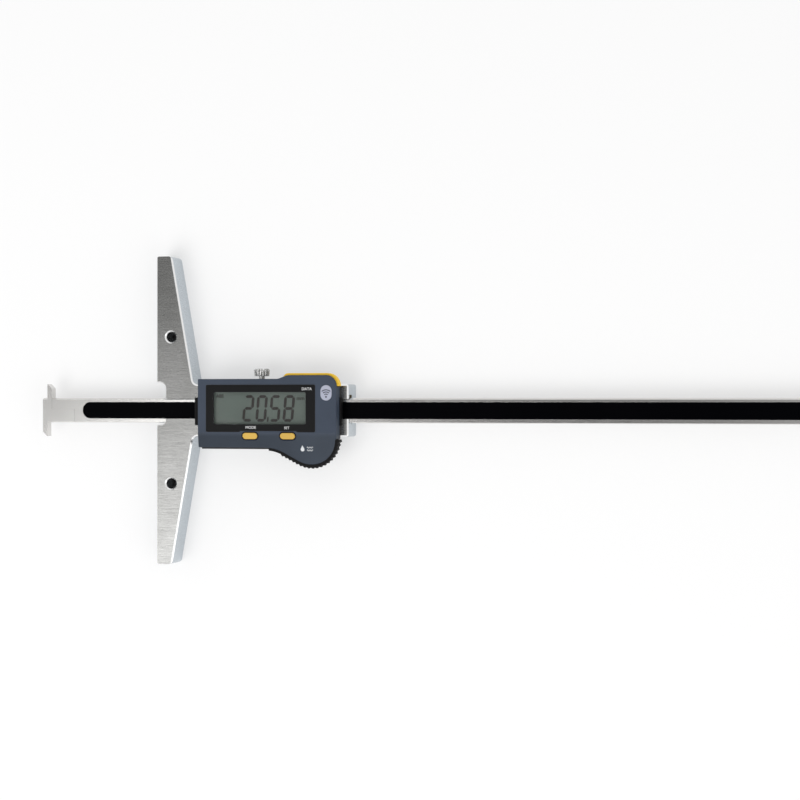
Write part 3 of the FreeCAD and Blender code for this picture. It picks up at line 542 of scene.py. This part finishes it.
SEGMENTS = {
    "0": "abcdef", "1": "bc", "2": "abged", "3": "abgcd", "4": "fgbc",
    "5": "afgcd", "6": "afgedc", "7": "abc", "8": "abcdefg", "9": "abcdfg",
}
DIGITS = "2058"
DIGIT_X = (48.8, 55.5, 62.3, 69.15)
DIGIT_Y = 0.96
DIGIT_WIDTH = 5.4
DIGIT_HEIGHT = 12.7
DIGIT_STROKE = 1.36
DIGIT_GAP = 0.12
DIGIT_SLANT = math.tan(math.radians(5.0))
POINT_PLACE = (58.1, -5.35)
POINT_HEIGHT = 2.2
POINT_WIDTH = 0.8
LCD_GAP = 0.015
LCD_WORD_WEIGHT = 0.04


def slanted(x, y, place):
    return (place + x + (y * DIGIT_SLANT), DIGIT_Y + y)


def segment_bar(a, b, stroke):
    """Six-sided bar from a to b, pointed at both ends, as on a display."""
    direction = (Vector(b) - Vector(a)).normalized()
    side = Vector((-direction.y, direction.x)) * stroke / 2
    inset = direction * stroke / 2
    a = Vector(a) + direction * DIGIT_GAP
    b = Vector(b) - direction * DIGIT_GAP
    return [a, a + inset - side, b - inset - side, b, b - inset + side, a + inset + side]


def display_digits():
    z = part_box("lcd_panel")[1].z / MM + LCD_GAP
    sheet = Sheet(z)
    half = DIGIT_WIDTH / 2 - DIGIT_STROKE / 2
    tall = DIGIT_HEIGHT / 2 - DIGIT_STROKE / 2
    ends = {
        "a": ((-half, tall), (half, tall)),
        "b": ((half, 0), (half, tall)),
        "c": ((half, -tall), (half, 0)),
        "d": ((-half, -tall), (half, -tall)),
        "e": ((-half, -tall), (-half, 0)),
        "f": ((-half, 0), (-half, tall)),
        "g": ((-half, 0), (half, 0)),
    }
    for digit, place in zip(DIGITS, DIGIT_X):
        for key in SEGMENTS[digit]:
            bar = segment_bar(*ends[key], DIGIT_STROKE)
            sheet.add([slanted(p.x, p.y, place) for p in bar])
    x, y = POINT_PLACE
    lean = POINT_HEIGHT * DIGIT_SLANT
    top = y + POINT_HEIGHT
    sheet.add([(x, y), (x + POINT_WIDTH, y), (x + POINT_WIDTH + lean, top), (x + lean, top)])
    ink = printed("display ink", LCD_INK)
    sheet.make("display_digits", ink, "gauge_body")
    words("display_mode", "ABS", (32.4, 6.1, z), 1.6, ink, weight=LCD_WORD_WEIGHT)
    words("display_unit", "mm", (73.0, 5.0, z), 1.8, ink, weight=LCD_WORD_WEIGHT)


CAPITAL_SHARE = 0.70
LETTER_THICKNESS = 0.01
LETTER_STEPS = 3


def words(name, text, place, size, material, weight=0.0):
    """Flat raised lettering with its lower left corner at place, in mm; size is the capital height."""
    data = bpy.data.curves.new(name, "FONT")
    data.body = text
    data.size = size * MM / CAPITAL_SHARE
    data.extrude = LETTER_THICKNESS * MM
    data.offset = weight * size * MM
    data.resolution_u = LETTER_STEPS
    made = bpy.data.objects.new(name + "_curve", data)
    bpy.context.scene.collection.objects.link(made)
    bpy.context.view_layer.update()
    mesh = bpy.data.meshes.new_from_object(made.evaluated_get(bpy.context.evaluated_depsgraph_get()))
    bpy.data.objects.remove(made)
    mesh.transform(Matrix.Translation(mm(*place)))
    mesh.materials.clear()
    mesh.materials.append(material)
    piece = bpy.data.objects.new(name, mesh)
    bpy.context.scene.collection.objects.link(piece)
    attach(piece, "gauge_body")


def legends():
    white = printed("print white", PRINT_WHITE)
    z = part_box("window_bezel")[1].z / MM + PRINT_GAP
    words("legend_mode", "MODE", (47.9, -8.75, z), 1.32, white)
    words("legend_set", "SET", (67.35, -8.85, z), 1.2, white)
    words("legend_data", "DATA", (76.1, 9.65, z), 1.32, white)


FACET_SLOPE = math.radians(8.0)
FACET_EDGE_GAP = 0.3
BEZEL_PROUD = 0.1


def facet_height(y):
    """Height of the lower facet of the cover at y, in mm."""
    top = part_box("window_bezel")[1].z / MM - BEZEL_PROUD
    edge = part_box("window_bezel")[0].y / MM - FACET_EDGE_GAP
    return top - max(0.0, edge - y) * math.tan(FACET_SLOPE)


def tilt_to_facet(piece, y):
    """Lays a flat piece onto the lower facet, turning about the line at y."""
    pivot = mm(0, y, facet_height(y))
    turn = Matrix.Rotation(FACET_SLOPE, 4, "X")
    piece.data.transform(Matrix.Translation(pivot) @ turn @ Matrix.Translation(-pivot))


DROP_PLACE = (76.2, -18.5)
DROP_RADIUS = 0.95
DROP_HEIGHT = 2.9
DROP_STEPS = 20
WAVE_START = 2.2
WAVE_STEP = 0.12
WAVE_POINTS = 26
WAVE_HEIGHT = 0.28
WAVE_TURN = 0.62
WAVE_HALF_WIDTH = 0.17
WAVE_ROWS = (0.9, -0.45)


def drop_sign():
    """Water drop and two waves, printed on the lower facet."""
    pale = printed("print pale", PRINT_PALE)
    x, y = DROP_PLACE
    sheet = Sheet(facet_height(y) + PRINT_GAP, PRINT_THICKNESS)
    round_end = arc(x, y, DROP_RADIUS, 35, -215, DROP_STEPS)
    tip = (x, y + DROP_HEIGHT - DROP_RADIUS)
    sheet.add(round_end[::-1] + [tip])
    for row in WAVE_ROWS:
        line = [(x + WAVE_START + WAVE_STEP * i, y + row + WAVE_HEIGHT * math.sin(i * WAVE_TURN))
                for i in range(WAVE_POINTS)]
        sheet.band([(px, py - WAVE_HALF_WIDTH) for px, py in line],
                   [(px, py + WAVE_HALF_WIDTH) for px, py in line])
    tilt_to_facet(sheet.make("drop_sign", pale, "gauge_body"), y)


BADGE_DOT = 0.45
BADGE_DOT_DROP = 1.9
BADGE_DOT_STEPS = 16
BADGE_ARCS = (1.3, 2.3, 3.3)
BADGE_ARC_HALF_WIDTH = 0.22
BADGE_ARC_START = 50
BADGE_ARC_END = 130
BADGE_ARC_STEPS = 12


def badge_sign():
    """Plain signal arcs on the oval badge."""
    x, y = middle("badge")
    dot_y = y - BADGE_DOT_DROP
    sheet = Sheet(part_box("badge")[1].z / MM + PRINT_GAP, PRINT_THICKNESS)
    sheet.add(arc(x, dot_y, BADGE_DOT, 0, 360, BADGE_DOT_STEPS)[:-1])
    for radius in BADGE_ARCS:
        inner, outer = (arc(x, dot_y, reach, BADGE_ARC_START, BADGE_ARC_END, BADGE_ARC_STEPS)
                        for reach in (radius - BADGE_ARC_HALF_WIDTH, radius + BADGE_ARC_HALF_WIDTH))
        sheet.band(inner, outer)
    sheet.make("badge_sign", printed("badge ink", BADGE_INK), "gauge_body")


KEY_LENGTH = 7.4
KEY_WIDTH = 3.0
KEY_RING_GAP = 0.06
KEY_RING_WIDTH = 0.55
KEY_RING_STEPS = 12


def pill(x, y, half_length, radius):
    """Outline of a rounded bar about (x, y), closed, as points in mm."""
    reach = half_length - radius
    points = arc(x + reach, y, radius, -90, 90, KEY_RING_STEPS)
    points += arc(x - reach, y, radius, 90, 270, KEY_RING_STEPS)
    return points + points[:1]


def painted_key_ring_shade():
    """Painted shade: a dark ring round each of the two pill-shaped keys, on the lower facet, standing for
    the shaded gap round the key.
    """
    # A dark sheet of painted shade, laid where the gap round the key is shaded.
    shade = printed("key ring painted shade", KEY_RING_PAINTED_SHADE, specular=0.04)
    half = KEY_LENGTH / 2 + KEY_RING_GAP
    radius = KEY_WIDTH / 2 + KEY_RING_GAP
    for name in ("mode_key", "set_key"):
        x, y = middle(name)
        sheet = Sheet(facet_height(y) + PRINT_GAP, PRINT_THICKNESS)
        sheet.band(pill(x, y, half, radius), pill(x, y, half + KEY_RING_WIDTH, radius + KEY_RING_WIDTH))
        tilt_to_facet(sheet.make(name + "_ring_painted_shade", shade, "gauge_body"), y)


TONGUE_LENGTH = 12.3
TONGUE_TOP = 0.5
SEAM_RISE = 0.004
SEAM_THICKNESS = 0.006
SEAM_MARGIN = 0.6
STEP_SEAM_WIDTH = 0.20
END_SEAM_WIDTH = 0.32
LAP_SEAM_WIDTH = 0.08


def lap_seams():
    """Hairline joints where the hook piece laps onto the end of the beam."""
    beam_low, beam_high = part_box("beam")
    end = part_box("hook_tip")[1].x / MM
    step = end - TONGUE_LENGTH
    sheet = Sheet(beam_high.z / MM + SEAM_RISE, SEAM_THICKNESS)
    for x, y0, y1, width in (
        (step, TONGUE_TOP, beam_high.y / MM - SEAM_MARGIN, STEP_SEAM_WIDTH),
        (end, beam_low.y / MM + SEAM_MARGIN, TONGUE_TOP, END_SEAM_WIDTH),
    ):
        half = width / 2
        sheet.add([(x - half, y0), (x + half, y0), (x + half, y1), (x - half, y1)])
    low = TONGUE_TOP - LAP_SEAM_WIDTH / 2
    high = TONGUE_TOP + LAP_SEAM_WIDTH / 2
    sheet.add([(step, low), (end, low), (end, high), (step, high)])
    sheet.make("lap_seams", printed("seam grey", SEAM), "slide_beam")


# Floor, lights and camera
def floor():
    data = bpy.data.meshes.new("floor")
    corners = [(FLOOR_HALF * x, FLOOR_HALF * y, 0) for x, y in ((-1, -1), (1, -1), (1, 1), (-1, 1))]
    data.from_pydata(corners, [], [(0, 1, 2, 3)])
    data.materials.append(floor_material())
    made = bpy.data.objects.new("floor", data)
    bpy.context.scene.collection.objects.link(made)
    made.location.z = -FLOOR_DROP * MM


def softbox(name, place, size, power):
    data = bpy.data.lights.new(name, "AREA")
    data.shape = "RECTANGLE"
    data.size, data.size_y = size
    data.energy = power
    made = bpy.data.objects.new(name, data)
    made.location = place
    made.rotation_euler = (Vector(LIGHT_AIM) - Vector(place)).to_track_quat("-Z", "Y").to_euler()
    bpy.context.scene.collection.objects.link(made)


def shaded_sky(tree, ray, sky, direction, inner, outer):
    """The sky with one soft dark flag in it, as wide as the two reaches in degrees."""
    dot = tree.nodes.new("ShaderNodeVectorMath")
    dot.operation = "DOT_PRODUCT"
    dot.inputs[1].default_value = Vector(direction).normalized()
    tree.links.new(ray, dot.inputs[0])
    fade = tree.nodes.new("ShaderNodeMapRange")
    fade.interpolation_type = "SMOOTHSTEP"
    fade.inputs["From Min"].default_value = math.cos(math.radians(outer))
    fade.inputs["From Max"].default_value = math.cos(math.radians(inner))
    fade.inputs["To Min"].default_value = 1.0
    fade.inputs["To Max"].default_value = FLAG_SHADE
    tree.links.new(dot.outputs["Value"], fade.inputs["Value"])
    product = tree.nodes.new("ShaderNodeMath")
    product.operation = "MULTIPLY"
    tree.links.new(sky, product.inputs[0])
    tree.links.new(fade.outputs["Result"], product.inputs[1])
    return product.outputs[0]


def world():
    """Soft studio sky with its dark flags, and plain white where the camera sees it."""
    made = bpy.data.worlds.new("studio")
    made.use_nodes = True
    tree = made.node_tree
    background = tree.nodes["Background"]
    coordinate = tree.nodes.new("ShaderNodeTexCoord")
    split = tree.nodes.new("ShaderNodeSeparateXYZ")
    tree.links.new(coordinate.outputs["Generated"], split.inputs[0])
    ramp = tree.nodes.new("ShaderNodeMapRange")
    ramp.inputs["From Min"].default_value = SKY_LOW
    ramp.inputs["From Max"].default_value = SKY_HIGH
    ramp.inputs["To Min"].default_value = HORIZON
    ramp.inputs["To Max"].default_value = ZENITH
    tree.links.new(split.outputs["Z"], ramp.inputs["Value"])
    sky = ramp.outputs["Result"]
    for direction, inner, outer in FLAGS:
        sky = shaded_sky(tree, coordinate.outputs["Generated"], sky, direction, inner, outer)
    path = tree.nodes.new("ShaderNodeLightPath")
    seen = tree.nodes.new("ShaderNodeMix")
    tree.links.new(path.outputs["Is Camera Ray"], seen.inputs[0])
    tree.links.new(sky, seen.inputs[2])
    seen.inputs[3].default_value = 1.0
    tree.links.new(seen.outputs[0], background.inputs["Strength"])
    background.inputs["Color"].default_value = (1.0, 1.0, 1.0, 1.0)
    bpy.context.scene.world = made


def camera():
    data = bpy.data.cameras.new("camera")
    data.lens = CAMERA_LENS
    data.sensor_width = CAMERA_SENSOR
    data.clip_end = CAMERA_REACH
    made = bpy.data.objects.new("camera", data)
    right = Vector((math.cos(CAMERA_YAW), 0, -math.sin(CAMERA_YAW)))
    back = Vector((math.sin(CAMERA_YAW), 0, math.cos(CAMERA_YAW)))
    up = Vector((0, 1, 0))
    turn = Matrix((right, up, back)).transposed().to_4x4()
    made.matrix_world = Matrix.Translation(CAMERA_PLACE) @ turn
    bpy.context.scene.collection.objects.link(made)
    bpy.context.scene.camera = made


finish_nodes()
display_digits()
legends()
drop_sign()
badge_sign()
painted_key_ring_shade()
lap_seams()
floor()
softbox("key", KEY_PLACE, KEY_SIZE, KEY_POWER)
softbox("fill", FILL_PLACE, FILL_SIZE, FILL_POWER)
world()
camera()
bpy.context.scene.view_settings.view_transform = "Standard"
